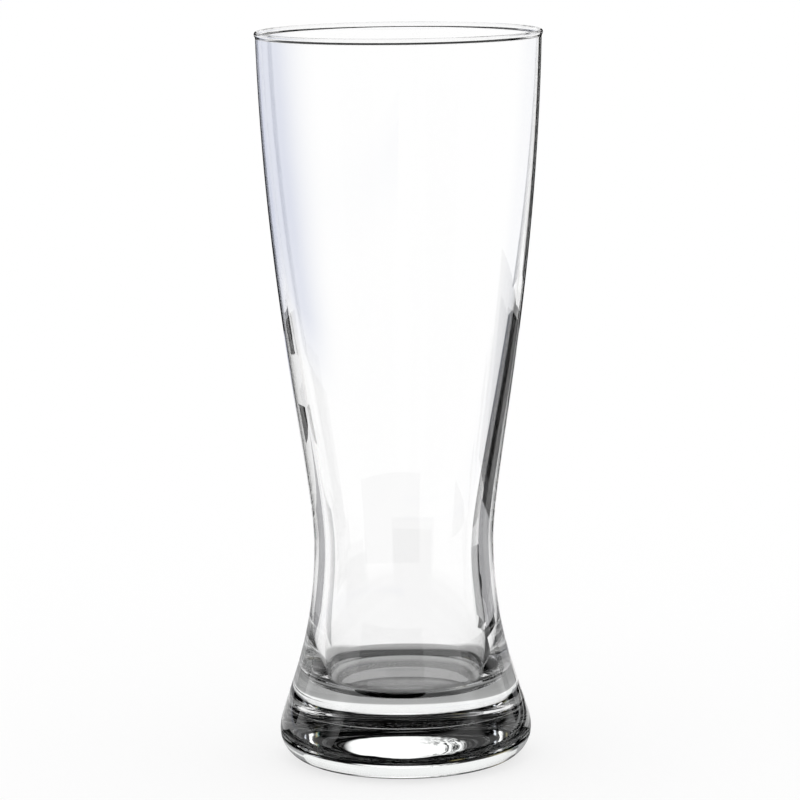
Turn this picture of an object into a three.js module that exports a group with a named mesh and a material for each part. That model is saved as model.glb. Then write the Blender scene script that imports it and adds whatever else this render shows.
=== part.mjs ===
// A tall waisted drinking glass: a hollow flared bowl welded to a heavy solid base.
// Millimetres, +Z up, with the origin at the centre of the face that the glass stands on.

import * as THREE from 'three';

// Heights above the table
const GLASS_HEIGHT = 180;
const WAIST_HEIGHT = 54;

// Outside radii
const RIM_RADIUS = 34.7;
const WAIST_RADIUS = 22.2;
const BASE_RADIUS = 31.2;

// Base, from the table up to the weld
const BASE_THICKNESS = 13.7;
const HEEL_RADIUS = 7.2;
const STANDING_RING_WIDTH = 3.5;
const PUSH_UP_DEPTH = 1.6;

// Bowl floor, above the weld
const FLOOR_THICKNESS = 4;
const FLOOR_FILLET = 4;

// Wall of the bowl, measured level, from the floor up. The throat and shoulder lead it as it thins.
const SKIRT_WALL = 6.5;
const WAIST_WALL = 3.75;
const THROAT_WALL = 3.2;
const SHOULDER_WALL = 1.3;
const RIM_WALL = 0.8;

// Fire-polished bead round the rim
const BEAD_DIAMETER = 1.3;
const BEAD_PROUD = 0.3;
const BEAD_BLEND = 1;

// How long the outside curves hold their end directions, as shares of the curve's own rise
const BASE_EASE = 0.14;
const WAIST_EASE_BELOW = 0.57;
const WAIST_EASE_ABOVE = 0.14;
const RIM_EASE = 0.515;

// The same for the bore between the floor and the waist
const BORE_EASE_FLOOR = 0.4;
const BORE_EASE_WAIST = 0.4;

// Radius gained for each millimetre of height where the flare ends at the rim
const RIM_LEAN = 0.026;

// Steps round the axis and along the stretches of the outlines
const TURN_STEPS = 64;
const PUSH_UP_STEPS = 4;
const HEEL_STEPS = 6;
const BASE_SKIRT_STEPS = 3;
const BOWL_SKIRT_STEPS = 7;
const FLARE_STEPS = 12;
const BLEND_STEPS = 2;
const BEAD_STEPS = 6;
const BORE_STEPS_ABOVE = 12;
const BORE_STEPS_BELOW = 4;
const FILLET_STEPS = 4;

// Halvings that find where a curve crosses a height, and the least distance between outline points
const HALVINGS = 40;
const SAME_POINT = 1e-6;

const QUARTER_TURN = Math.PI / 2;

// A point of an outline: distance from the axis, then height.
const at = (radius, height) => new THREE.Vector2(radius, height);

// Outside of the glass from the top of the heel in to the waist.
const skirtRise = WAIST_HEIGHT - HEEL_RADIUS;
const skirt = new THREE.CubicBezierCurve(
  at(BASE_RADIUS, HEEL_RADIUS),
  at(BASE_RADIUS, HEEL_RADIUS + BASE_EASE * skirtRise),
  at(WAIST_RADIUS, WAIST_HEIGHT - WAIST_EASE_BELOW * skirtRise),
  at(WAIST_RADIUS, WAIST_HEIGHT),
);

// Ring that the round bead runs along, and the height where the plain wall ends below it.
const bead = at(RIM_RADIUS + BEAD_PROUD - BEAD_DIAMETER / 2, GLASS_HEIGHT - BEAD_DIAMETER / 2);
const wallTop = bead.y - BEAD_BLEND;

// Outside of the glass from the waist out to the wall's top.
const flareRise = wallTop - WAIST_HEIGHT;
const rimHold = RIM_EASE * flareRise;
const flare = new THREE.CubicBezierCurve(
  at(WAIST_RADIUS, WAIST_HEIGHT),
  at(WAIST_RADIUS, WAIST_HEIGHT + WAIST_EASE_ABOVE * flareRise),
  at(RIM_RADIUS - RIM_LEAN * rimHold, wallTop - rimHold),
  at(RIM_RADIUS, wallTop),
);

// Share of a rising curve at which it reaches a height.
function shareAtHeight(curve, height) {
  let low = 0;
  let high = 1;
  for (let i = 0; i < HALVINGS; i += 1) {
    const middle = (low + high) / 2;
    if (curve.getPoint(middle).y < height) {
      low = middle;
    } else {
      high = middle;
    }
  }
  return (low + high) / 2;
}

// Outside radius of the plain wall at a height.
function outsideRadius(height) {
  const curve = height < WAIST_HEIGHT ? skirt : flare;
  return curve.getPoint(shareAtHeight(curve, height)).x;
}

// Inside of the bowl above the waist: the flare's own curve, drawn in by the wall at each of its four points.
const walls = [WAIST_WALL, THROAT_WALL, SHOULDER_WALL, RIM_WALL];
const flarePoints = [flare.v0, flare.v1, flare.v2, flare.v3];
const borePoints = flarePoints.map((point, i) => at(point.x - walls[i], point.y));
const boreFlare = new THREE.CubicBezierCurve(...borePoints);

// Inside of the bowl below the waist: floor, the corner beside it, and the bore up to the waist.
const floorHeight = BASE_THICKNESS + FLOOR_THICKNESS;
const filletTop = floorHeight + FLOOR_FILLET;
const floorBore = outsideRadius(filletTop) - SKIRT_WALL;
const boreRise = WAIST_HEIGHT - filletTop;
const boreLean = (borePoints[1].x - borePoints[0].x) / (borePoints[1].y - borePoints[0].y);
const boreHold = BORE_EASE_WAIST * boreRise;
const boreSkirt = new THREE.CubicBezierCurve(
  at(floorBore, filletTop),
  at(floorBore, filletTop + BORE_EASE_FLOOR * boreRise),
  at(borePoints[0].x - boreLean * boreHold, WAIST_HEIGHT - boreHold),
  borePoints[0],
);

// Points of a curve between two of its shares.
function stretch(curve, from, to, steps) {
  const points = [];
  for (let i = 0; i <= steps; i += 1) {
    points.push(curve.getPoint(THREE.MathUtils.lerp(from, to, i / steps)));
  }
  return points;
}

// Points of a round stretch about a centre.
function arc(centre, radius, from, to, steps) {
  const clockwise = to < from;
  const curve = new THREE.EllipseCurve(centre.x, centre.y, radius, radius, from, to, clockwise);
  return curve.getPoints(steps);
}

// Upright S between two points, both ends running straight up or down.
function blend(from, to, steps) {
  const middle = (from.y + to.y) / 2;
  return stretch(new THREE.CubicBezierCurve(from, at(from.x, middle), at(to.x, middle), to), 0, 1, steps);
}

// One outline from stretches that meet end to end.
function joined(...stretches) {
  const all = stretches.flat();
  return all.filter((point, i) => i === 0 || point.distanceTo(all[i - 1]) > SAME_POINT);
}

// Solid of revolution about +Z from an outline that starts and ends on the axis.
function turned(name, outline, material) {
  const geometry = new THREE.LatheGeometry(outline, TURN_STEPS);
  geometry.rotateX(QUARTER_TURN);
  const mesh = new THREE.Mesh(geometry, material);
  mesh.name = name;
  return mesh;
}

// Clear soda-lime glass. The thick base looks darker and greener than the thin bowl.
function glass(color) {
  const finish = { roughness: 0.03, metalness: 0, transparent: true, opacity: 0.35 };
  return new THREE.MeshStandardMaterial({ color, ...finish });
}

// The weld is a flat disc that the two pieces share, as wide as the skirt is at its height.
const weldShare = shareAtHeight(skirt, BASE_THICKNESS);
const weldRadius = skirt.getPoint(weldShare).x;
const weldDisc = [at(0, BASE_THICKNESS), at(weldRadius, BASE_THICKNESS)];

// Heavy base: domed push-up, flat standing ring, rounded heel and the foot of the skirt.
function makeBase() {
  const heel = at(BASE_RADIUS - HEEL_RADIUS, HEEL_RADIUS);
  const domeEdge = heel.x - STANDING_RING_WIDTH;
  const domeRadius = (domeEdge ** 2 + PUSH_UP_DEPTH ** 2) / (2 * PUSH_UP_DEPTH);
  const domeCentre = at(0, PUSH_UP_DEPTH - domeRadius);
  const domeReach = Math.asin(domeEdge / domeRadius);
  const dome = arc(domeCentre, domeRadius, QUARTER_TURN, QUARTER_TURN - domeReach, PUSH_UP_STEPS);
  const foot = stretch(skirt, 0, weldShare, BASE_SKIRT_STEPS);
  const outline = joined(
    [at(0, PUSH_UP_DEPTH)],
    dome.slice(1, -1),
    [at(domeEdge, 0), at(heel.x, 0)],
    arc(heel, HEEL_RADIUS, -QUARTER_TURN, 0, HEEL_STEPS).slice(1, -1),
    foot.slice(0, -1),
    [weldDisc[1], weldDisc[0]],
  );
  return turned('base', outline, glass(0xc9d6d2));
}

// Hollow bowl: skirt, waist and flare outside, the rim bead, then the bore down to the floor.
function makeBowl() {
  const beadRadius = BEAD_DIAMETER / 2;
  const filletCentre = at(floorBore - FLOOR_FILLET, filletTop);
  const outline = joined(
    weldDisc,
    stretch(skirt, weldShare, 1, BOWL_SKIRT_STEPS).slice(1),
    stretch(flare, 0, 1, FLARE_STEPS),
    blend(at(RIM_RADIUS, wallTop), at(bead.x + beadRadius, bead.y), BLEND_STEPS),
    arc(bead, beadRadius, 0, Math.PI, BEAD_STEPS),
    blend(at(bead.x - beadRadius, bead.y), borePoints[3], BLEND_STEPS),
    stretch(boreFlare, 1, 0, BORE_STEPS_ABOVE),
    stretch(boreSkirt, 1, 0, BORE_STEPS_BELOW),
    arc(filletCentre, FLOOR_FILLET, 0, -QUARTER_TURN, FILLET_STEPS).slice(0, -1),
    [at(filletCentre.x, floorHeight), at(0, floorHeight)],
  );
  return turned('bowl', outline, glass(0xeaf0f0));
}

const drinkingGlass = new THREE.Group();
drinkingGlass.name = 'drinking_glass';
drinkingGlass.add(makeBowl(), makeBase());

export default drinkingGlass;
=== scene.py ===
"""Visual model of a tall waisted drinking glass, and the white studio that shows it.

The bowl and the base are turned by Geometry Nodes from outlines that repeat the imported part's own curves, in metres.
"""

import math

import bpy
from mathutils import Matrix, Vector


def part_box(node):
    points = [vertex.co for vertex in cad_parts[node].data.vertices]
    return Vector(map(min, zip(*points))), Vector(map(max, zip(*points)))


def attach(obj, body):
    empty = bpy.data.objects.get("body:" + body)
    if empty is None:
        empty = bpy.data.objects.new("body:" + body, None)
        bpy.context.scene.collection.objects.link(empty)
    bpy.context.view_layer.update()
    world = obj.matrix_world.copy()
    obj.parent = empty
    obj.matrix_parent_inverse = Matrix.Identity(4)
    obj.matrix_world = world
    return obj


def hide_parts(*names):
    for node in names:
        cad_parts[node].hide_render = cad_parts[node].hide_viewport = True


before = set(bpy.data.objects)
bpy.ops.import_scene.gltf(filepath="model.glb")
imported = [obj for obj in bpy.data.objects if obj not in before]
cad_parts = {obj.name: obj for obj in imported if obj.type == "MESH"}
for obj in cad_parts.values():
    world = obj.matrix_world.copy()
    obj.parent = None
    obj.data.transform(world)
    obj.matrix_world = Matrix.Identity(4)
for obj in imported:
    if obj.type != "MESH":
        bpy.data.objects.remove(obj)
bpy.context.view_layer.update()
BOWL_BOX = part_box("bowl")
BASE_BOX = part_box("base")

bl_info = {
    "name": "Waisted Drinking Glass",
    "version": (1, 0, 0),
    "blender": (4, 5, 0),
    "location": "3D View > Sidebar > Glass",
    "description": "Makes the bowl and base of a tall drinking glass, and a studio to see it in",
    "category": "Object",
}

# The picture's width in pixels, and the width of the camera's sensor in millimetres
PICTURE_WIDTH = 800
SENSOR_WIDTH = 36.0

# Points along each stretch of the outlines, and steps round the axis
TURN_STEPS = 192
SKIRT_POINTS = 40
FLARE_POINTS = 64
HEEL_POINTS = 24
DOME_POINTS = 16
BLEND_POINTS = 6
BEAD_POINTS = 20
BORE_POINTS_ABOVE = 96
BORE_POINTS_BELOW = 36
FILLET_POINTS = 16
FLOOR_POINTS = 6

# The circle that Geometry Nodes lead an outline round. Its size drops out of the result.
TURN_RADIUS = 0.01

# Points of a turned mesh that are nearer than this are one
MERGE_DISTANCE = 1e-6

# Width over which an outline rounds off the edge of the push-up
EDGE_WIDTH = 0.0002

# Halvings that find where a curve reaches a height
HALVINGS = 48

# A face is part of the weld when more than this share of its corners is marked
WELD_SHARE = 0.9

# The ripple comes in over this height above the floor's rounding, and fades between these depths under the wall's top
RIPPLE_RISE = 0.012
RIPPLE_FADE = (0.03, 0.005)

# How much flatter than wide the chill marks are
CHILL_SQUEEZE = 3.0

# Heights above the table between which the scuffs fade, and the part of their noise that shows as scuffs
SCUFF_FADE = (0.00002, 0.0001)
SCUFF_NOISE = (0.4, 0.65)

# Painted cool light on the paper, as the glass sees it: bearings from the camera in degrees over which it comes in
# and ends, and distances from the axis over which it comes in
COOL_START = (-1.8, -4.2)
COOL_END = (-50.0, -30.0)
COOL_FAR = (0.42, 0.6)

# Level of the paper, just under the standing ring
FLOOR_LEVEL = -0.00005

# Nearest and farthest distance that the camera sees
CAMERA_CLIP = (0.01, 100.0)

# How often light may turn inside the glass, and pass the weld
BOUNCES = 40
CLEAR_BOUNCES = 64

WHITE = "#FFFFFF"

# Each card tone's material and colour
CARD_TONES = {"black": ("matt black card", "#060606"), "grey": ("matt grey card", "#B4B4B6")}

# Degrees that a face of a curved card spans, and the fewest faces that a card has
CARD_STEP = 4
CARD_FACES = 8

# Painted shadow round the foot on the floor that the glass sees: distance from the axis in metres, and tone
FLOOR_SHADE = (
    (0.0, 0.06),
    (0.026, 0.06),
    (0.031, 0.30),
    (0.048, 0.38),
    (0.059, 0.45),
    (0.064, 1.0),
    (0.200, 1.0),
)

# Round soft boxes, as seen from the glass: azimuth from straight behind towards the right, elevation, half width and
# half height in degrees, how soft the edge is, strength, colour, and how much foliage breaks up the left half.
SOFT_BOXES = (
    ("back", 0.0, 24.5, 20.0, 8.7, 0.12, 1.2, "#FFFFFF", 1.0),
    ("high back", 0.0, 57.0, 26.0, 8.0, 0.3, 0.25, "#FFFFFF", 0.0),
    ("right back", 50.0, 26.0, 10.0, 8.0, 0.25, 1.1, "#F2F7FF", 0.0),
    ("left back", -47.0, 25.0, 9.0, 8.0, 0.4, 0.5, "#D6C98A", 0.0),
    ("left side", -62.0, 22.0, 8.0, 7.0, 0.4, 0.45, "#8FC4C0", 0.0),
)

# Foliage: patches for each unit of direction, the part of the noise that is leaf, and where across its box it comes in
LEAF_SCALE = 38.0
LEAF_NOISE = (0.42, 0.56)
LEAF_SIDE = (-0.15, -0.6)

# Curved cards round the glass, out of the picture: tone, azimuth from and to in degrees, then distance and height of
# the near or lower edge and of the far or upper edge. A card that lies on the floor is at LYING. A card named as a
# mirror card shows only in reflections on the outside of the glass.
LYING = -0.00002
CARDS = (
    ("card_under", "black", 160.0, 232.0, 0.005, LYING, 0.060, LYING),
    ("card_front", "black", 160.0, 232.0, 0.050, LYING, 0.085, 0.035),
    ("mirror_front_floor", "black", 60.0, 300.0, 0.036, LYING, 0.112, LYING),
    ("mirror_front_high", "black", 60.0, 300.0, 0.400, 0.205, 0.400, 0.330),
    ("mirror_right_low", "black", 30.0, 70.0, 0.120, 0.012, 0.120, 0.088),
    ("mirror_right_high", "black", 20.0, 42.0, 0.120, 0.088, 0.120, 0.195),
    ("mirror_left_low", "black", -70.0, -30.0, 0.120, 0.012, 0.120, 0.088),
    ("mirror_left_high", "black", -42.0, -20.0, 0.120, 0.088, 0.120, 0.195),
    ("card_right_side", "black", 60.0, 110.0, 0.050, LYING, 0.150, LYING),
    ("card_right_wall", "black", 30.0, 60.0, 0.100, 0.031, 0.100, 0.091),
    ("card_right_neck", "grey", 30.0, 62.0, 0.100, 0.012, 0.100, 0.031),
    ("card_right_floor", "black", 30.0, 60.0, 0.102, LYING, 0.160, LYING),
    ("card_right_behind", "black", 27.0, 75.0, 0.185, LYING, 0.450, LYING),
    ("card_right_tall", "black", 23.0, 34.0, 0.170, 0.085, 0.170, 0.190),
    ("card_collar", "black", -180.0, 180.0, 0.150, 0.215, 0.150, 0.360),
)

# Upright cards in a plane through the glass's axis: tone, azimuth in degrees, and distance and height of the corners
PANELS = (
    ("panel_left_high", "black", -45.0, ((0.066, 0.0873), (0.150, 0.0609), (0.150, 0.0774), (0.066, 0.0990))),
    ("panel_left_low", "black", -45.0, ((0.056, 0.0655), (0.180, 0.0269), (0.180, 0.0324), (0.056, 0.0767))),
    ("panel_left_neck", "grey", -45.0, ((0.045, 0.010), (0.200, 0.004), (0.200, 0.018), (0.045, 0.052))),
)


def linear(hex_colour):
    """Linear colour of an sRGB hex value, as red, green, blue and alpha."""
    parts = [int(hex_colour[i:i + 2], 16) / 255 for i in (1, 3, 5)]
    return tuple(c / 12.92 if c <= 0.04045 else ((c + 0.055) / 1.055) ** 2.4 for c in parts) + (1.0,)


def add_node(tree, kind, inputs=None, **settings):
    """Adds a node to a tree with its settings, and fills each input with a value or a link."""
    made = tree.nodes.new(kind)
    for name, value in settings.items():
        setattr(made, name, value)
    for socket, value in (inputs or {}).items():
        if isinstance(value, bpy.types.NodeSocket):
            tree.links.new(value, made.inputs[socket])
        else:
            made.inputs[socket].default_value = value
    return made


def length(name, default, description):
    """A size in metres that a user may change."""
    return bpy.props.FloatProperty(
        name=name, description=description, default=default, unit="LENGTH", subtype="DISTANCE", precision=5
    )


def share(name, default, description):
    """A part of a whole that a user may change."""
    return bpy.props.FloatProperty(
        name=name, description=description, default=default, min=0.0, max=1.0, subtype="FACTOR", precision=3
    )


def angle(name, degrees, description):
    """An angle that a user may change."""
    return bpy.props.FloatProperty(
        name=name, description=description, default=math.radians(degrees), unit="ROTATION", subtype="ANGLE"
    )


def colour(name, hex_colour, description):
    """A colour that a user may change."""
    return bpy.props.FloatVectorProperty(
        name=name, description=description, default=linear(hex_colour), size=4, min=0.0, max=1.0, subtype="COLOR"
    )


class GlassSizes(bpy.types.PropertyGroup):
    """Sizes of the glass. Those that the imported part's boxes hold come from there."""

    height: length("Height", BOWL_BOX[1].z, "From the table to the top of the rim")
    weld_height: length("Weld height", BASE_BOX[1].z, "Where the bowl's floor is fused to the base")
    base_radius: length("Base radius", BASE_BOX[1].x, "Outside radius just above the heel")
    bead_reach: length("Bead reach", BOWL_BOX[1].x, "Outside radius of the rounded rim")
    bead_proud: length("Bead proud", 0.0003, "How far the rounded rim stands outside the wall under it")
    bead_diameter: length("Bead diameter", 0.0013, "Thickness of the rounded rim")
    bead_blend: length("Bead blend", 0.001, "Height over which the wall runs into the rounded rim")
    waist_height: length("Waist height", 0.054, "Height of the narrowest place")
    waist_radius: length("Waist radius", 0.0222, "Outside radius at the narrowest place")
    heel_radius: length("Heel radius", 0.0072, "Rounding between the side of the base and its underside")
    ring_width: length("Standing ring width", 0.0035, "Width of the flat ring that touches the table")
    push_up: length("Push-up", 0.0016, "How far the middle of the underside is pushed up")
    floor_thickness: length("Floor thickness", 0.004, "Glass between the weld and the inside of the bowl")
    floor_fillet: length("Floor fillet", 0.004, "Rounding between the bowl's floor and its wall")
    skirt_wall: length("Skirt wall", 0.0065, "Wall just above the floor")
    waist_wall: length("Waist wall", 0.00375, "Wall at the waist")
    throat_wall: length("Throat wall", 0.0032, "Wall that the thinning above the waist starts towards")
    shoulder_wall: length("Shoulder wall", 0.0013, "Wall that the thinning ends from, under the rim")
    rim_wall: length("Rim wall", 0.0008, "Wall under the rim")
    base_ease: share("Base ease", 0.14, "How long the side stays upright above the heel")
    waist_ease_below: share("Waist ease below", 0.57, "How long the side stays upright under the waist")
    waist_ease_above: share("Waist ease above", 0.14, "How long the side stays upright over the waist")
    rim_ease: share("Rim ease", 0.515, "How long the side holds its last slope under the rim")
    rim_lean: share("Rim lean", 0.026, "Radius gained for each unit of height under the rim")
    bore_ease_floor: share("Bore ease at the floor", 0.4, "How long the bore stays upright above the floor's rounding")
    bore_ease_waist: share("Bore ease at the waist", 0.4, "How long the bore holds its slope under the waist")
    ripple: length("Ripple", 0.00006, "How far the inside of the wall wanders from a true turned shape")
    ripple_spacing: length("Ripple spacing", 0.045, "Distance from one swell of the inside to the next")
    ripple_seed: bpy.props.IntProperty(name="Ripple seed", description="Which wandering is drawn", default=7)


class GlassFinish(bpy.types.PropertyGroup):
    """What the glass is made of and how its surface was finished."""

    bowl_tint: colour("Bowl tint", "#FFFFFF", "Colour left in light that has passed through the bowl's thin wall")
    base_tint: colour("Base tint", "#FDFFFE", "Colour left in light that has passed through the thick base")
    refraction: bpy.props.FloatProperty(
        name="Refractive index", description="Soda-lime glass bends light by 1.52", default=1.52, min=1.0, max=2.5
    )
    wave_spacing: length("Wave spacing", 0.009, "Width of the soft waves that fire-polishing leaves")
    wave_height: length("Wave height", 0.000002, "Height of those waves")
    chill_spacing: length("Chill mark spacing", 0.006, "Width of the faint marks that a cool mould leaves")
    chill_height: length("Chill mark height", 0.000004, "Height of those marks")
    scuff_spacing: length("Scuff spacing", 0.0006, "Width of the scuffs on the ring that stands on tables")
    scuff_roughness: share("Scuff roughness", 0.35, "Roughness where that ring is worn")


class StageSetup(bpy.types.PropertyGroup):
    """Camera, floor and light round the glass."""

    camera_distance: length("Camera distance", 0.90, "From the glass's axis, level")
    camera_height: length("Camera height", 0.2340, "Above the table")
    aim_height: length("Aim height", 0.0893, "Height on the glass that the middle of the picture shows")
    aim_side: length("Aim side", -0.00056, "Distance of the middle of the picture from the axis")
    focal_pixels: bpy.props.FloatProperty(
        name="Focal length in pixels", description="For a picture 800 pixels wide", default=3708.0, min=100.0
    )
    roll: angle("Roll", -0.63, "Lean of the picture")
    floor_size: length("Floor size", 12.0, "Width of the floor")
    floor_tone: colour("Floor colour", "#FAFAFA", "Matt white paper")
    # Painted cool light that the glass sees on the far paper
    painted_cool_light: colour("Cool colour", "#D6DAE8", "Paper far behind on the left, as the glass shows it")
    shadow: share("Shadow", 0.28, "How much of its own shading the paper keeps where the camera sees it")
    dome: bpy.props.FloatProperty(
        name="Dome", description="Even light on the floor from all round", default=1.05, min=0.0
    )
    sweep_low: angle("Sweep fades from", 16.0, "Height above the horizon where the white backdrop starts to fade")
    sweep_high: angle("Sweep fades out", 19.0, "Height above the horizon where the dark room starts")
    gap_middle: angle("Gap middle", 76.0, "Where each dark gap at the side of the backdrop is, from straight behind")
    gap_inner: angle("Gap dark to", 24.0, "Half the width of the gap where it is dark")
    gap_outer: angle("Gap fades to", 34.0, "Half the width of the gap with its fading edges")
    gap_low: angle("Gap starts at", 4.5, "Height above the horizon where the gaps start to darken")
    gap_high: angle("Gap dark from", 7.0, "Height above the horizon from which the gaps are dark")


class GlassShape:
    """Outlines of the two pieces: distance from the axis and height, in metres."""

    def __init__(self, sizes):
        self.sizes = sizes
        s = sizes
        self.rim_radius = s.bead_reach - s.bead_proud
        self.bead = (s.bead_reach - s.bead_diameter / 2, s.height - s.bead_diameter / 2)
        self.wall_top = self.bead[1] - s.bead_blend
        rise = s.waist_height - s.heel_radius
        self.skirt = (
            (s.base_radius, s.heel_radius),
            (s.base_radius, s.heel_radius + s.base_ease * rise),
            (s.waist_radius, s.waist_height - s.waist_ease_below * rise),
            (s.waist_radius, s.waist_height),
        )
        rise = self.wall_top - s.waist_height
        hold = s.rim_ease * rise
        self.flare = (
            (s.waist_radius, s.waist_height),
            (s.waist_radius, s.waist_height + s.waist_ease_above * rise),
            (self.rim_radius - s.rim_lean * hold, self.wall_top - hold),
            (self.rim_radius, self.wall_top),
        )
        self.weld_share = self.share_at(self.skirt, s.weld_height)
        self.weld_radius = self.point(self.skirt, self.weld_share)[0]
        self.floor_height = s.weld_height + s.floor_thickness
        self.fillet_top = self.floor_height + s.floor_fillet
        self.floor_bore = self.outside(self.fillet_top) - s.skirt_wall

        # The bore is the flare's own curve, drawn in by the wall at each of its four points.
        walls = (s.waist_wall, s.throat_wall, s.shoulder_wall, s.rim_wall)
        self.bore_flare = tuple((radius - wall, height) for (radius, height), wall in zip(self.flare, walls))
        waist, above = self.bore_flare[:2]
        lean = (above[0] - waist[0]) / (above[1] - waist[1])
        rise = s.waist_height - self.fillet_top
        hold = s.bore_ease_waist * rise
        self.bore_skirt = (
            (self.floor_bore, self.fillet_top),
            (self.floor_bore, self.fillet_top + s.bore_ease_floor * rise),
            (waist[0] - lean * hold, waist[1] - hold),
            waist,
        )

    @staticmethod
    def point(curve, t):
        """Point of a cubic curve at a share of its run."""
        weights = ((1 - t) ** 3, 3 * t * (1 - t) ** 2, 3 * t * t * (1 - t), t ** 3)
        return tuple(sum(w * p[k] for w, p in zip(weights, curve)) for k in (0, 1))

    def share_at(self, curve, height):
        """Share of a rising curve's run at which it reaches a height."""
        low, high = 0.0, 1.0
        for _ in range(HALVINGS):
            middle = (low + high) / 2
            if self.point(curve, middle)[1] < height:
                low = middle
            else:
                high = middle
        return (low + high) / 2

    def outside(self, height):
        """Outside radius of the plain wall at a height."""
        curve = self.skirt if height < self.sizes.waist_height else self.flare
        return self.point(curve, self.share_at(curve, height))[0]

    @staticmethod
    def ease(value, low, high):
        """0 up to low, 1 from high on, and a smooth rise between them."""
        t = min(1.0, max(0.0, (value - low) / (high - low)))
        return t * t * t * (t * (6 * t - 15) + 10)

    def stretch(self, curve, start, end, count):
        """Points of a cubic curve, closer together at both ends so that its pieces meet smoothly."""
        parts = [(1 - math.cos(math.pi * i / count)) / 2 for i in range(count + 1)]
        return [self.point(curve, start + (end - start) * part) for part in parts]

    @staticmethod
    def arc(centre, radius, start, end, count):
        """Points of a round stretch."""
        turns = [start + (end - start) * i / count for i in range(count + 1)]
        return [(centre[0] + radius * math.cos(a), centre[1] + radius * math.sin(a)) for a in turns]

    def blend(self, start, end):
        """Upright S between two points."""
        middle = (start[1] + end[1]) / 2
        return self.stretch((start, (start[0], middle), (end[0], middle), end), 0.0, 1.0, BLEND_POINTS)

    def base_outline(self):
        """Push-up, standing ring, heel, foot of the skirt, then the weld back to the axis."""
        s = self.sizes
        heel = (s.base_radius - s.heel_radius, s.heel_radius)
        dome_edge = heel[0] - s.ring_width
        dome_radius = (dome_edge ** 2 + s.push_up ** 2) / (2 * s.push_up)
        reach = math.asin(dome_edge / dome_radius)
        quarter = math.pi / 2
        dome = self.arc((0.0, s.push_up - dome_radius), dome_radius, quarter, quarter - reach, DOME_POINTS)
        outline = [(0.0, s.push_up)] + dome[1:-1]
        outline += [
            (dome_edge - EDGE_WIDTH, EDGE_WIDTH * math.tan(reach)),
            (dome_edge, 0.0),
            (dome_edge + EDGE_WIDTH, 0.0),
        ]
        outline += self.arc(heel, s.heel_radius, -quarter, 0.0, HEEL_POINTS)[:-1]
        outline += self.stretch(self.skirt, 0.0, self.weld_share, SKIRT_POINTS // 2)
        return outline + [(0.0, s.weld_height)]

    def bowl_outline(self):
        """Weld, skirt, flare, rounded rim, then the bore down to the floor and in to the axis."""
        s = self.sizes
        radius = s.bead_diameter / 2
        bead_out = (self.bead[0] + radius, self.bead[1])
        bead_in = (self.bead[0] - radius, self.bead[1])
        outline = [(0.0, s.weld_height)] + self.stretch(self.skirt, self.weld_share, 1.0, SKIRT_POINTS)
        outline += self.stretch(self.flare, 0.0, 1.0, FLARE_POINTS)[1:]
        outline += self.blend((self.rim_radius, self.wall_top), bead_out)[1:-1]
        outline += self.arc(self.bead, radius, 0.0, math.pi, BEAD_POINTS)
        outline += self.blend(bead_in, self.bore_flare[-1])[1:-1]
        outline += self.stretch(self.bore_flare, 1.0, 0.0, BORE_POINTS_ABOVE)
        outline += self.stretch(self.bore_skirt, 1.0, 0.0, BORE_POINTS_BELOW)[1:-1]
        corner = (self.floor_bore - s.floor_fillet, self.fillet_top)
        outline += self.arc(corner, s.floor_fillet, 0.0, -math.pi / 2, FILLET_POINTS)
        outline += [(corner[0] * (1 - i / FLOOR_POINTS), self.floor_height) for i in range(1, FLOOR_POINTS + 1)]
        return outline


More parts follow.
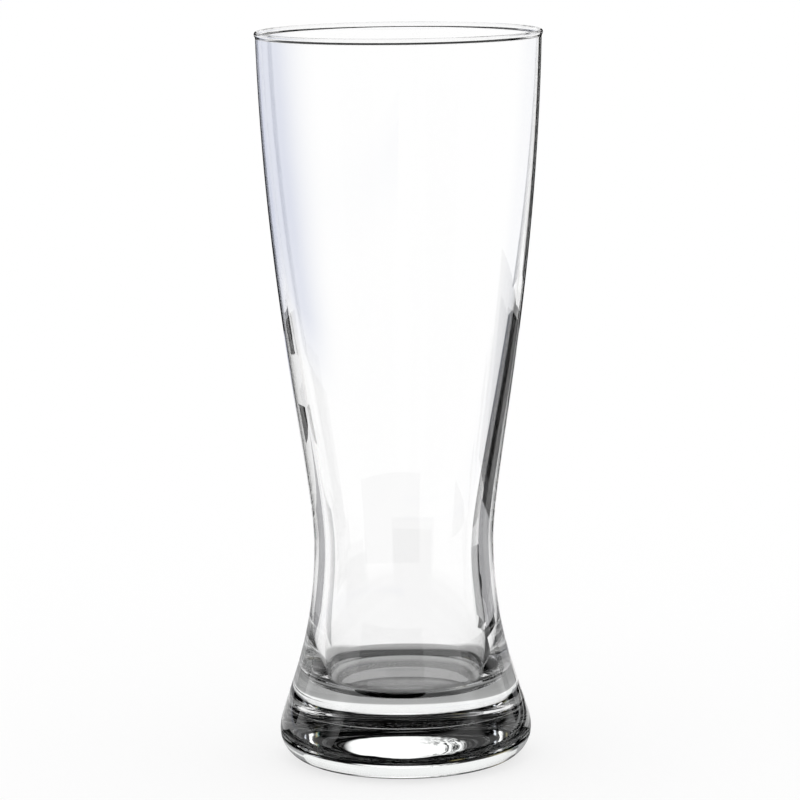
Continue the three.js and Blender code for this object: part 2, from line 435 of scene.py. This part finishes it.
def turning_tree():
    """Geometry Nodes tree that turns an outline about +Z, ripples its bore and gives it its materials."""
    tree = bpy.data.node_groups.new("turned_glass", "GeometryNodeTree")
    sockets = tree.interface
    sockets.new_socket("Outline", in_out="INPUT", socket_type="NodeSocketGeometry")
    sockets.new_socket("Turn steps", in_out="INPUT", socket_type="NodeSocketInt")
    sockets.new_socket("Ripple", in_out="INPUT", socket_type="NodeSocketFloat")
    sockets.new_socket("Ripple scale", in_out="INPUT", socket_type="NodeSocketFloat")
    sockets.new_socket("Ripple seed", in_out="INPUT", socket_type="NodeSocketFloat")
    sockets.new_socket("Glass", in_out="INPUT", socket_type="NodeSocketMaterial")
    sockets.new_socket("Weld", in_out="INPUT", socket_type="NodeSocketMaterial")
    sockets.new_socket("Turned", in_out="OUTPUT", socket_type="NodeSocketGeometry")
    given = add_node(tree, "NodeGroupInput").outputs

    # The outline's own x is the distance from the circle, and its y runs down the axis.
    outline = add_node(tree, "GeometryNodeMeshToCurve", {"Mesh": given["Outline"]})
    circle = add_node(
        tree, "GeometryNodeCurvePrimitiveCircle", {"Resolution": given["Turn steps"], "Radius": TURN_RADIUS}
    )
    swept = add_node(
        tree,
        "GeometryNodeCurveToMesh",
        {"Curve": circle.outputs["Curve"], "Profile Curve": outline.outputs["Curve"]},
    )
    closed = add_node(
        tree, "GeometryNodeMergeByDistance", {"Geometry": swept.outputs["Mesh"], "Distance": MERGE_DISTANCE}
    )

    # The ripple moves only points that the outline marks as bore.
    bore = add_node(tree, "GeometryNodeInputNamedAttribute", {"Name": "bore"}, data_type="FLOAT")
    swell = add_node(
        tree,
        "ShaderNodeTexNoise",
        {"W": given["Ripple seed"], "Scale": given["Ripple scale"], "Detail": 1.0},
        noise_dimensions="4D",
    )
    centred = add_node(tree, "ShaderNodeMath", {0: swell.outputs["Fac"], 1: 0.5}, operation="SUBTRACT")
    height = add_node(tree, "ShaderNodeMath", {0: centred.outputs[0], 1: given["Ripple"]}, operation="MULTIPLY")
    masked = add_node(
        tree, "ShaderNodeMath", {0: height.outputs[0], 1: bore.outputs["Attribute"]}, operation="MULTIPLY"
    )
    outward = add_node(tree, "GeometryNodeInputNormal")
    offset = add_node(
        tree,
        "ShaderNodeVectorMath",
        {0: outward.outputs[0], "Scale": masked.outputs[0]},
        operation="SCALE",
    )
    rippled = add_node(
        tree,
        "GeometryNodeSetPosition",
        {"Geometry": closed.outputs["Geometry"], "Offset": offset.outputs["Vector"]},
    )

    # The weld's faces stay flat, so that they don't bend the shading of the skin beside them.
    weld = add_node(tree, "GeometryNodeInputNamedAttribute", {"Name": "weld"}, data_type="FLOAT")
    on_face = add_node(
        tree, "GeometryNodeFieldOnDomain", {"Value": weld.outputs["Attribute"]}, data_type="FLOAT", domain="FACE"
    )
    is_weld = add_node(
        tree,
        "FunctionNodeCompare",
        {"A": on_face.outputs[0], "B": WELD_SHARE},
        data_type="FLOAT",
        operation="GREATER_THAN",
    )
    is_skin = add_node(tree, "FunctionNodeBooleanMath", {0: is_weld.outputs[0]}, operation="NOT")
    smooth = add_node(
        tree,
        "GeometryNodeSetShadeSmooth",
        {"Geometry": rippled.outputs["Geometry"], "Shade Smooth": is_skin.outputs[0]},
        domain="FACE",
    )
    real = add_node(tree, "GeometryNodeRealizeInstances", {"Geometry": smooth.outputs["Geometry"]})
    skin = add_node(
        tree, "GeometryNodeSetMaterial", {"Geometry": real.outputs["Geometry"], "Material": given["Glass"]}
    )
    seam = add_node(
        tree,
        "GeometryNodeSetMaterial",
        {"Geometry": skin.outputs["Geometry"], "Selection": is_weld.outputs[0], "Material": given["Weld"]},
    )
    add_node(tree, "NodeGroupOutput", {"Turned": seam.outputs["Geometry"]})
    return tree


def turned_piece(name, outline, bore_marks, weld_height, glass, sizes):
    """Turns one outline with the tree above and returns it as an object with a plain mesh."""
    outline = outline[::-1]
    bore_marks = bore_marks[::-1]
    points = [(radius - TURN_RADIUS, -height, 0.0) for radius, height in outline]
    mesh = bpy.data.meshes.new(name + "_outline")
    mesh.from_pydata(points, [(i, i + 1) for i in range(len(points) - 1)], [])
    mesh.attributes.new("bore", "FLOAT", "POINT").data.foreach_set("value", bore_marks)
    weld_marks = [1.0 if abs(height - weld_height) < MERGE_DISTANCE else 0.0 for _, height in outline]
    mesh.attributes.new("weld", "FLOAT", "POINT").data.foreach_set("value", weld_marks)
    piece = bpy.data.objects.new(name, mesh)
    bpy.context.scene.collection.objects.link(piece)

    turning = piece.modifiers.new("Turning", "NODES")
    turning.node_group = turning_tree()
    values = {
        "Turn steps": TURN_STEPS,
        "Ripple": sizes.ripple,
        "Ripple scale": 1.0 / sizes.ripple_spacing,
        "Ripple seed": float(sizes.ripple_seed),
        "Glass": glass,
        "Weld": weld_seam(),
    }
    for item in turning.node_group.interface.items_tree:
        if item.in_out == "INPUT" and item.name in values:
            turning[item.identifier] = values[item.name]

    evaluated = piece.evaluated_get(bpy.context.evaluated_depsgraph_get())
    made = bpy.data.meshes.new_from_object(evaluated)
    piece.modifiers.remove(turning)
    piece.data = made
    made.name = name
    bpy.data.meshes.remove(mesh)
    for mark in ("bore", "weld"):
        if mark in made.attributes:
            made.attributes.remove(made.attributes[mark])
    if made.validate():
        raise RuntimeError(f"the mesh of {name} was not sound")
    return piece


def new_material(name):
    """An empty node material."""
    material = bpy.data.materials.new(name)
    material.use_nodes = True
    material.node_tree.nodes.clear()
    return material


def blown_glass(finish):
    """Blown soda-lime glass, fire-polished: clear, with soft waves that make lines seen through it wander a little."""
    material = new_material("blown soda-lime glass")
    tree = material.node_tree
    place = add_node(tree, "ShaderNodeTexCoord").outputs["Object"]
    waves = add_node(
        tree, "ShaderNodeTexNoise", {"Vector": place, "Scale": 1.0 / finish.wave_spacing, "Detail": 1.5}
    )
    bump = add_node(
        tree,
        "ShaderNodeBump",
        {"Height": waves.outputs["Fac"], "Distance": finish.wave_height, "Strength": 1.0},
    )
    glass = add_node(
        tree,
        "ShaderNodeBsdfPrincipled",
        {
            "Base Color": finish.bowl_tint,
            "Roughness": 0.0,
            "IOR": finish.refraction,
            "Transmission Weight": 1.0,
            "Normal": bump.outputs["Normal"],
        },
    )
    add_node(tree, "ShaderNodeOutputMaterial", {"Surface": glass.outputs["BSDF"]})
    return material


def pressed_glass(finish):
    """Pressed soda-lime glass: clear, with faint level chill marks from the mould and a scuffed standing ring."""
    material = new_material("pressed soda-lime glass")
    tree = material.node_tree
    place = add_node(tree, "ShaderNodeTexCoord").outputs["Object"]

    # Chill marks run level round the base, so the pattern is squeezed along the axis.
    level = add_node(tree, "ShaderNodeMapping", {"Vector": place, "Scale": (1.0, 1.0, CHILL_SQUEEZE)})
    marks = add_node(
        tree,
        "ShaderNodeTexNoise",
        {"Vector": level.outputs["Vector"], "Scale": 1.0 / finish.chill_spacing, "Detail": 2.0},
    )
    bump = add_node(
        tree,
        "ShaderNodeBump",
        {"Height": marks.outputs["Fac"], "Distance": finish.chill_height, "Strength": 1.0},
    )

    # Only the flat ring touches tables, so the scuffs fade out within a tenth of a millimetre above it.
    height = add_node(tree, "ShaderNodeSeparateXYZ", {"Vector": place}).outputs["Z"]
    worn = add_node(
        tree,
        "ShaderNodeMapRange",
        {
            "Value": height,
            "From Min": SCUFF_FADE[0],
            "From Max": SCUFF_FADE[1],
            "To Min": 1.0,
            "To Max": 0.0,
        },
    )
    grit = add_node(
        tree, "ShaderNodeTexNoise", {"Vector": place, "Scale": 1.0 / finish.scuff_spacing, "Detail": 3.0}
    )
    scuffs = add_node(
        tree,
        "ShaderNodeMapRange",
        {
            "Value": grit.outputs["Fac"],
            "From Min": SCUFF_NOISE[0],
            "From Max": SCUFF_NOISE[1],
            "To Max": finish.scuff_roughness,
        },
    )
    roughness = add_node(
        tree, "ShaderNodeMath", {0: worn.outputs["Result"], 1: scuffs.outputs["Result"]}, operation="MULTIPLY"
    )
    glass = add_node(
        tree,
        "ShaderNodeBsdfPrincipled",
        {
            "Base Color": finish.base_tint,
            "Roughness": roughness.outputs[0],
            "IOR": finish.refraction,
            "Transmission Weight": 1.0,
            "Normal": bump.outputs["Normal"],
        },
    )
    add_node(tree, "ShaderNodeOutputMaterial", {"Surface": glass.outputs["BSDF"]})
    return material


def weld_seam():
    """Where the bowl and the base have run together there is no surface, so light goes straight on."""
    material = bpy.data.materials.get("fused weld")
    if material is None:
        material = new_material("fused weld")
        clear = add_node(material.node_tree, "ShaderNodeBsdfTransparent")
        add_node(material.node_tree, "ShaderNodeOutputMaterial", {"Surface": clear.outputs["BSDF"]})
    return material


def matt_paper(stage):
    """Matt white paper under the glass: it takes a soft shadow and has no gloss.

    Glass sees it as an even white with a painted shadow near the foot, so that its own shadow doesn't fill it with
    noise, and with painted cool light on the far paper to the left.
    """
    material = new_material("matt white paper")
    tree = material.node_tree
    place = add_node(tree, "ShaderNodeTexCoord").outputs["Object"]
    # Painted shadow: the floor that the glass sees darkens towards the foot by a ramp of distance from the axis.
    distance = add_node(tree, "ShaderNodeVectorMath", {0: place}, operation="LENGTH").outputs["Value"]
    reach = add_node(tree, "ShaderNodeMath", {0: distance, 1: FLOOR_SHADE[-1][0]}, operation="DIVIDE").outputs[0]
    shade = add_node(tree, "ShaderNodeValToRGB", {"Fac": reach})
    stops = shade.color_ramp.elements
    for _ in FLOOR_SHADE[2:]:
        stops.new(0.5)
    for stop, (where, tone) in zip(stops, FLOOR_SHADE):
        stop.position = where / FLOOR_SHADE[-1][0]
        stop.color = (tone, tone, tone, 1.0)
    paper = add_node(
        tree,
        "ShaderNodeBsdfPrincipled",
        {"Base Color": stage.floor_tone, "Roughness": 1.0, "Specular IOR Level": 0.0},
    )
    path = add_node(tree, "ShaderNodeLightPath").outputs
    white = add_node(tree, "ShaderNodeEmission", {"Color": linear(WHITE), "Strength": 1.0})
    lifted = add_node(
        tree, "ShaderNodeMath", {0: path["Is Camera Ray"], 1: 1.0 - stage.shadow}, operation="MULTIPLY"
    )
    facing = add_node(
        tree,
        "ShaderNodeMixShader",
        {"Fac": lifted.outputs[0], 1: paper.outputs["BSDF"], 2: white.outputs["Emission"]},
    )
    # Painted cool light: the far paper to the left of a line that runs away from the camera is tinted cool.
    axes = add_node(tree, "ShaderNodeSeparateXYZ", {"Vector": place}).outputs
    ahead = add_node(tree, "ShaderNodeMath", {0: axes["Y"], 1: stage.camera_distance}, operation="ADD")
    bearing = add_node(tree, "ShaderNodeMath", {0: axes["X"], 1: ahead.outputs[0]}, operation="ARCTAN2").outputs[0]
    leftward = add_node(
        tree,
        "ShaderNodeMapRange",
        {"Value": bearing, "From Min": math.radians(COOL_START[0]), "From Max": math.radians(COOL_START[1])},
        interpolation_type="SMOOTHSTEP",
    )
    inward = add_node(
        tree,
        "ShaderNodeMapRange",
        {"Value": bearing, "From Min": math.radians(COOL_END[0]), "From Max": math.radians(COOL_END[1])},
    )
    far = add_node(
        tree, "ShaderNodeMapRange", {"Value": distance, "From Min": COOL_FAR[0], "From Max": COOL_FAR[1]}
    )
    within = add_node(
        tree, "ShaderNodeMath", {0: leftward.outputs["Result"], 1: inward.outputs["Result"]}, operation="MULTIPLY"
    )
    cool = add_node(
        tree, "ShaderNodeMath", {0: within.outputs[0], 1: far.outputs["Result"]}, operation="MULTIPLY"
    )
    # A mix node's sockets 6 and 7 and its output 2 are those for colours.
    tinted = add_node(
        tree,
        "ShaderNodeMix",
        {0: cool.outputs[0], 6: shade.outputs["Color"], 7: stage.painted_cool_light},
        data_type="RGBA",
    )
    seen = add_node(tree, "ShaderNodeEmission", {"Color": tinted.outputs[2], "Strength": 1.0})
    through = add_node(
        tree, "ShaderNodeMath", {0: path["Is Glossy Ray"], 1: path["Is Transmission Ray"]}, operation="MAXIMUM"
    )
    mixed = add_node(
        tree,
        "ShaderNodeMixShader",
        {"Fac": through.outputs[0], 1: facing.outputs["Shader"], 2: seen.outputs["Emission"]},
    )
    add_node(tree, "ShaderNodeOutputMaterial", {"Surface": mixed.outputs["Shader"]})
    return material


def matt_card(name, tone):
    """Matt card: black draws the dark lines along the edges of clear glass, and grey the soft ones."""
    material = new_material(name)
    tree = material.node_tree
    card = add_node(tree, "ShaderNodeBsdfDiffuse", {"Color": linear(tone)})
    add_node(tree, "ShaderNodeOutputMaterial", {"Surface": card.outputs["BSDF"]})
    return material


def studio_world(stage):
    """White backdrop up to a little over the horizon, a dark room above it, and soft boxes in the room."""
    world = bpy.data.worlds.new("studio")
    bpy.context.scene.world = world
    world.use_nodes = True
    tree = world.node_tree
    tree.nodes.clear()
    direction = add_node(tree, "ShaderNodeTexCoord").outputs["Generated"]
    axes = add_node(tree, "ShaderNodeSeparateXYZ", {"Vector": direction}).outputs
    elevation = add_node(tree, "ShaderNodeMath", {0: axes["Z"]}, operation="ARCSINE").outputs[0]
    azimuth = add_node(tree, "ShaderNodeMath", {0: axes["X"], 1: axes["Y"]}, operation="ARCTAN2").outputs[0]
    sweep = add_node(
        tree,
        "ShaderNodeMapRange",
        {
            "Value": elevation,
            "From Min": stage.sweep_low,
            "From Max": stage.sweep_high,
            "To Min": 1.0,
            "To Max": 0.0,
        },
        interpolation_type="SMOOTHSTEP",
    )
    turned = add_node(tree, "ShaderNodeMath", {0: azimuth}, operation="ABSOLUTE").outputs[0]
    aside = add_node(tree, "ShaderNodeMath", {0: turned, 1: stage.gap_middle}, operation="SUBTRACT").outputs[0]
    away = add_node(tree, "ShaderNodeMath", {0: aside}, operation="ABSOLUTE").outputs[0]
    paper = add_node(
        tree,
        "ShaderNodeMapRange",
        {"Value": away, "From Min": stage.gap_inner, "From Max": stage.gap_outer},
        interpolation_type="SMOOTHSTEP",
    )
    horizon = add_node(
        tree,
        "ShaderNodeMapRange",
        {
            "Value": elevation,
            "From Min": stage.gap_low,
            "From Max": stage.gap_high,
            "To Min": 1.0,
            "To Max": paper.outputs["Result"],
        },
        interpolation_type="SMOOTHSTEP",
    )
    light = add_node(
        tree, "ShaderNodeMath", {0: sweep.outputs["Result"], 1: horizon.outputs["Result"]}, operation="MULTIPLY"
    ).outputs[0]
    for _, where, up, wide, tall, edge, strength, tint, foliage in SOFT_BOXES:
        across, along = (
            add_node(
                tree,
                "ShaderNodeMapRange",
                {"Value": reading, "From Min": math.radians(middle), "From Max": math.radians(middle + half)},
                clamp=False,
            ).outputs["Result"]
            for reading, middle, half in ((azimuth, where, wide), (elevation, up, tall))
        )
        spot = add_node(tree, "ShaderNodeCombineXYZ", {"X": across, "Y": along})
        reach = add_node(tree, "ShaderNodeVectorMath", {0: spot.outputs[0]}, operation="LENGTH").outputs["Value"]
        window = add_node(
            tree,
            "ShaderNodeMapRange",
            {"Value": reach, "From Min": 1.0 - edge, "From Max": 1.0 + edge, "To Min": strength, "To Max": 0.0},
            interpolation_type="SMOOTHSTEP",
        )
        inside = window.outputs["Result"]
        if foliage:
            leaves = add_node(
                tree,
                "ShaderNodeTexNoise",
                {"Vector": direction, "Scale": LEAF_SCALE, "Detail": 2.0, "Roughness": 0.7},
            )
            leaf = add_node(
                tree,
                "ShaderNodeMapRange",
                {"Value": leaves.outputs["Fac"], "From Min": LEAF_NOISE[0], "From Max": LEAF_NOISE[1]},
            )
            left = add_node(
                tree,
                "ShaderNodeMapRange",
                {"Value": across, "From Min": LEAF_SIDE[0], "From Max": LEAF_SIDE[1], "To Max": foliage},
            )
            covered = add_node(
                tree,
                "ShaderNodeMath",
                {0: left.outputs["Result"], 1: leaf.outputs["Result"]},
                operation="MULTIPLY",
            )
            bare = add_node(tree, "ShaderNodeMath", {0: 1.0, 1: covered.outputs[0]}, operation="SUBTRACT")
            inside = add_node(
                tree, "ShaderNodeMath", {0: inside, 1: bare.outputs[0]}, operation="MULTIPLY"
            ).outputs[0]
        glow = add_node(tree, "ShaderNodeVectorMath", {0: linear(tint)[:3], "Scale": inside}, operation="SCALE")
        light = add_node(tree, "ShaderNodeVectorMath", {0: light, 1: glow.outputs[0]}, operation="ADD").outputs[0]
    seen = add_node(tree, "ShaderNodeBackground", {"Color": light, "Strength": 1.0})
    dome = add_node(tree, "ShaderNodeBackground", {"Color": linear(WHITE), "Strength": stage.dome})
    path = add_node(tree, "ShaderNodeLightPath").outputs
    through = add_node(
        tree, "ShaderNodeMath", {0: path["Is Glossy Ray"], 1: path["Is Transmission Ray"]}, operation="MAXIMUM"
    )
    mixed = add_node(
        tree,
        "ShaderNodeMixShader",
        {"Fac": through.outputs[0], 1: dome.outputs["Background"], 2: seen.outputs["Background"]},
    )
    white = add_node(tree, "ShaderNodeBackground", {"Color": linear(WHITE), "Strength": 1.0})
    facing = add_node(
        tree,
        "ShaderNodeMixShader",
        {"Fac": path["Is Camera Ray"], 1: mixed.outputs["Shader"], 2: white.outputs["Background"]},
    )
    add_node(tree, "ShaderNodeOutputWorld", {"Surface": facing.outputs["Shader"]})


def stage_mesh(name, points, faces, material):
    """A stage object from points and faces."""
    mesh = bpy.data.meshes.new(name)
    mesh.from_pydata(points, [], faces)
    mesh.materials.append(material)
    thing = bpy.data.objects.new(name, mesh)
    bpy.context.scene.collection.objects.link(thing)
    return thing


def hide_card(card):
    """Lets only the glass see a card: it casts no shadow and the camera looks past it.

    A card named as a mirror card shows only in reflections on the outside of the glass, never through it.
    """
    card.visible_camera = False
    card.visible_diffuse = False
    card.visible_shadow = False
    card.visible_transmission = not card.name.startswith("mirror")


def place_camera(stage):
    """Camera at the photograph's viewing angle."""
    data = bpy.data.cameras.new("camera")
    camera = bpy.data.objects.new("camera", data)
    scene = bpy.context.scene
    scene.collection.objects.link(camera)
    scene.camera = camera
    data.sensor_fit = "HORIZONTAL"
    data.sensor_width = SENSOR_WIDTH
    data.lens = stage.focal_pixels * SENSOR_WIDTH / PICTURE_WIDTH
    data.clip_start, data.clip_end = CAMERA_CLIP
    camera.location = (0.0, -stage.camera_distance, stage.camera_height)
    aim = Vector((stage.aim_side, 0.0, stage.aim_height)) - camera.location
    turn = aim.to_track_quat("-Z", "Y").to_matrix() @ Matrix.Rotation(stage.roll, 3, "Z")
    camera.rotation_euler = turn.to_euler()


class GLASS_OT_bowl(bpy.types.Operator):
    """Make the hollow bowl, from its weld to its rounded rim"""

    bl_idname = "drinking_glass.bowl"
    bl_label = "Make Bowl"
    bl_options = {"REGISTER", "UNDO"}

    def execute(self, context):
        sizes = context.scene.glass_sizes
        shape = GlassShape(sizes)
        outline = shape.bowl_outline()
        top = max(range(len(outline)), key=lambda i: outline[i][1])
        marks = []
        for i, (_, height) in enumerate(outline):
            rise = shape.ease(height, shape.fillet_top, shape.fillet_top + RIPPLE_RISE)
            fade = 1.0 - shape.ease(height, *(shape.wall_top - depth for depth in RIPPLE_FADE))
            marks.append(rise * fade if i > top else 0.0)
        glass = blown_glass(context.scene.glass_finish)
        piece = turned_piece("blown_bowl", outline, marks, sizes.weld_height, glass, sizes)
        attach(piece, "root")
        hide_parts("bowl")
        return {"FINISHED"}


class GLASS_OT_base(bpy.types.Operator):
    """Make the heavy base, from its standing ring to its weld"""

    bl_idname = "drinking_glass.base"
    bl_label = "Make Base"
    bl_options = {"REGISTER", "UNDO"}

    def execute(self, context):
        sizes = context.scene.glass_sizes
        outline = GlassShape(sizes).base_outline()
        marks = [0.0] * len(outline)
        glass = pressed_glass(context.scene.glass_finish)
        piece = turned_piece("pressed_base", outline, marks, sizes.weld_height, glass, sizes)
        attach(piece, "root")
        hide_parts("base")
        return {"FINISHED"}


class GLASS_OT_stage(bpy.types.Operator):
    """Set the camera, the floor, the cards and the light"""

    bl_idname = "drinking_glass.stage"
    bl_label = "Set Stage"
    bl_options = {"REGISTER", "UNDO"}

    def execute(self, context):
        scene = context.scene
        stage = scene.glass_stage
        place_camera(stage)
        half = stage.floor_size / 2
        corners = [(x * half, y * half, FLOOR_LEVEL) for x, y in ((-1, -1), (1, -1), (1, 1), (-1, 1))]
        stage_mesh("floor", corners, [(0, 1, 2, 3)], matt_paper(stage))
        cards = {tone: matt_card(*made_of) for tone, made_of in CARD_TONES.items()}
        for name, tone, start, end, *edges in CARDS:
            count = max(CARD_FACES, round(abs(end - start) / CARD_STEP))
            turns = [math.radians(start + (end - start) * i / count) for i in range(count + 1)]
            points = []
            for distance, height in (edges[:2], edges[2:]):
                points += [(distance * math.sin(a), distance * math.cos(a), height) for a in turns]
            faces = [(i, i + 1, count + 2 + i, count + 1 + i) for i in range(count)]
            hide_card(stage_mesh(name, points, faces, cards[tone]))
        for name, tone, azimuth, corners in PANELS:
            across, ahead = math.sin(math.radians(azimuth)), math.cos(math.radians(azimuth))
            points = [(distance * across, distance * ahead, height) for distance, height in corners]
            hide_card(stage_mesh(name, points, [(0, 1, 2, 3)], cards[tone]))
        studio_world(stage)
        scene.view_settings.view_transform = "Standard"
        cycles = scene.cycles
        cycles.max_bounces = BOUNCES
        cycles.transmission_bounces = BOUNCES
        cycles.glossy_bounces = BOUNCES
        cycles.transparent_max_bounces = CLEAR_BOUNCES
        return {"FINISHED"}


class GLASS_PT_panel(bpy.types.Panel):
    """The glass's sizes, finish and stage, and the buttons that make it"""

    bl_label = "Drinking Glass"
    bl_idname = "GLASS_PT_panel"
    bl_space_type = "VIEW_3D"
    bl_region_type = "UI"
    bl_category = "Glass"

    def draw(self, context):
        layout = self.layout
        for operator in (GLASS_OT_bowl, GLASS_OT_base, GLASS_OT_stage):
            layout.operator(operator.bl_idname)
        for group in (context.scene.glass_sizes, context.scene.glass_finish, context.scene.glass_stage):
            box = layout.box()
            for name in group.__annotations__:
                box.prop(group, name)


CLASSES = (GlassSizes, GlassFinish, StageSetup, GLASS_OT_bowl, GLASS_OT_base, GLASS_OT_stage, GLASS_PT_panel)


def register():
    for kind in CLASSES:
        bpy.utils.register_class(kind)
    bpy.types.Scene.glass_sizes = bpy.props.PointerProperty(type=GlassSizes)
    bpy.types.Scene.glass_finish = bpy.props.PointerProperty(type=GlassFinish)
    bpy.types.Scene.glass_stage = bpy.props.PointerProperty(type=StageSetup)


def unregister():
    del bpy.types.Scene.glass_stage
    del bpy.types.Scene.glass_finish
    del bpy.types.Scene.glass_sizes
    for kind in reversed(CLASSES):
        bpy.utils.unregister_class(kind)


def main():
    """Makes the pieces and the stage; the imported parts stay in the scene, hidden."""
    register()
    bpy.ops.drinking_glass.bowl()
    bpy.ops.drinking_glass.base()
    bpy.ops.drinking_glass.stage()


if __name__ == "__main__":
    main()
